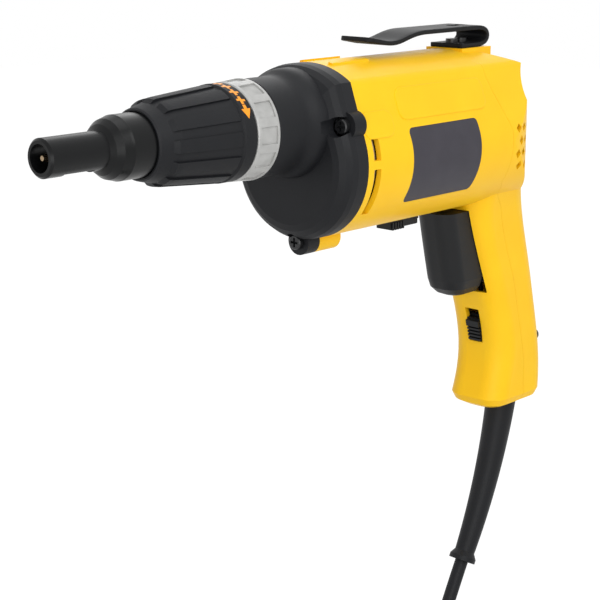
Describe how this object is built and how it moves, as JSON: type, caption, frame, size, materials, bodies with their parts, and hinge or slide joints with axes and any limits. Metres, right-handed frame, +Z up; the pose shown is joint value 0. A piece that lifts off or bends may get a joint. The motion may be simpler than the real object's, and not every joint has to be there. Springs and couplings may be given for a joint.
{
  "type": "drywall screwdriver",
  "caption": "Corded pistol-grip drywall screwdriver with a depth-setting collar, pull-off nosepiece, push-to-drive clutch, trigger, lock slide, reversing lever and belt hook.",
  "frame": {"origin": "middle of the pistol grip, where the hand holds it", "axes": "+X is the driving direction, +Z is up, +Y is the tool's left side"},
  "size_m": [0.3394, 0.1531, 0.3682],
  "materials": {
    "housing_yellow": "satin moulded plastic",
    "case_black": "fine moulded grain",
    "nose_black": "satin black oxide",
    "ring_gray": "mottled light gray",
    "control_black": "satin black plastic",
    "badge_gray": "bare dark gray panel",
    "screw_black": "black zinc",
    "ground_steel": "ground steel",
    "bit_steel": "hardened bit steel",
    "bronze": "sintered bronze",
    "cast_alloy": "die cast",
    "laminations": "stacked laminations",
    "copper": "varnished copper",
    "carbon": "graphite",
    "spring_steel": "drawn wire",
    "cord_rubber": "matte cord jacket",
    "tie_black": "flexible strap",
    "blade_brass": "bare contact metal"
  },
  "bodies": {
    "housing": {"main_housing": "housing_yellow", "rear_cover": "housing_yellow", "cover_screws": "screw_black", "gear_case": "case_black", "gear_case_screws": "screw_black", "bearing_plate": "cast_alloy", "drive_gear_bush": "bronze", "front_bearing": "ground_steel", "rear_bearing": "ground_steel", "field_core": "laminations", "field_coils": "copper", "brush_yoke": "control_black", "brush_boxes": "bronze", "carbon_brushes": "carbon", "brush_springs": "spring_steel", "spindle_bush": "bronze", "detent_ring": "ring_gray", "collar_snap_ring": "ground_steel", "switch_body": "control_black", "trigger_spring": "spring_steel", "badge_left": "badge_gray", "badge_right": "badge_gray", "belt_hook": "nose_black", "hook_screws": "screw_black", "cord_boot": "cord_rubber", "cord_lead": "cord_rubber", "cord_coil": "cord_rubber", "cord_tie": "tie_black", "plug_body": "cord_rubber", "plug_blades": "blade_brass", "cord_clamp": "control_black", "cord_tail": "cord_rubber", "lead_wires": "cord_rubber"},
    "collar": {"depth_collar": "case_black"},
    "carrier": {"depth_carrier": "ground_steel"},
    "nose": {"nosepiece": "nose_black", "nose_o_ring": "cord_rubber"},
    "spindle_carriage": {"spring_seat_washer": "ground_steel", "clutch_spring": "spring_steel"},
    "spindle_line": {"spindle": "ground_steel", "bit_holder": "ground_steel", "phillips_bit": "bit_steel"},
    "gear": {"drive_gear": "ground_steel"},
    "armature": {"armature_shaft": "ground_steel", "armature_core": "laminations", "armature_windings": "copper", "commutator": "copper", "cooling_fan": "control_black"},
    "trigger": {"trigger": "control_black"},
    "lock": {"lock_slide": "control_black"},
    "reverse": {"reversing_lever": "control_black"}
  },
  "joints": [
    {"name": "collar_turn", "type": "hinge", "parent": "housing", "child": "collar", "pos_m": [0.2, 0, 0.098], "axis": [1, 0, 0], "range_deg": [-270, 270]},
    {"name": "depth_travel", "type": "slide", "parent": "housing", "child": "carrier", "axis": [1, 0, 0], "range_m": [-0.0037, 0.0037]},
    {"name": "nose_pull_off", "type": "slide", "parent": "carrier", "child": "nose", "axis": [1, 0, 0], "range_m": [0, 0.06]},
    {"name": "spindle_push", "type": "slide", "parent": "housing", "child": "spindle_carriage", "axis": [-1, 0, 0], "range_m": [0, 0.003], "stiffness_N_per_m": 4000, "springref_m": -0.002, "deforming": ["clutch_spring"]},
    {"name": "spindle_spin", "type": "hinge", "parent": "spindle_carriage", "child": "spindle_line", "pos_m": [0.2, 0, 0.098], "axis": [1, 0, 0], "continuous": true},
    {"name": "armature_spin", "type": "hinge", "parent": "housing", "child": "armature", "pos_m": [0.1, 0, 0.0788], "axis": [1, 0, 0], "continuous": true},
    {"name": "gear_spin", "type": "hinge", "parent": "housing", "child": "gear", "pos_m": [0.146, 0, 0.098], "axis": [1, 0, 0], "continuous": true},
    {"name": "trigger_press", "type": "slide", "parent": "housing", "child": "trigger", "axis": [-1, 0, 0], "range_m": [0, 0.006], "stiffness_N_per_m": 900, "springref_m": -0.004, "deforming": ["trigger_spring"]},
    {"name": "lock_slide_up", "type": "slide", "parent": "housing", "child": "lock", "axis": [0.2403, 0, 0.9707], "range_m": [0, 0.006]},
    {"name": "reverse_swing", "type": "hinge", "parent": "housing", "child": "reverse", "pos_m": [0.065, 0, 0.042], "axis": [0, 0, 1], "range_deg": [-12, 12]}
  ],
  "couplings": [
    {"joint": "depth_travel", "follows": "collar_turn", "m_per_rad": 0.00076394},
    {"joint": "gear_spin", "follows": "armature_spin", "ratio": -0.23077}
  ]
}
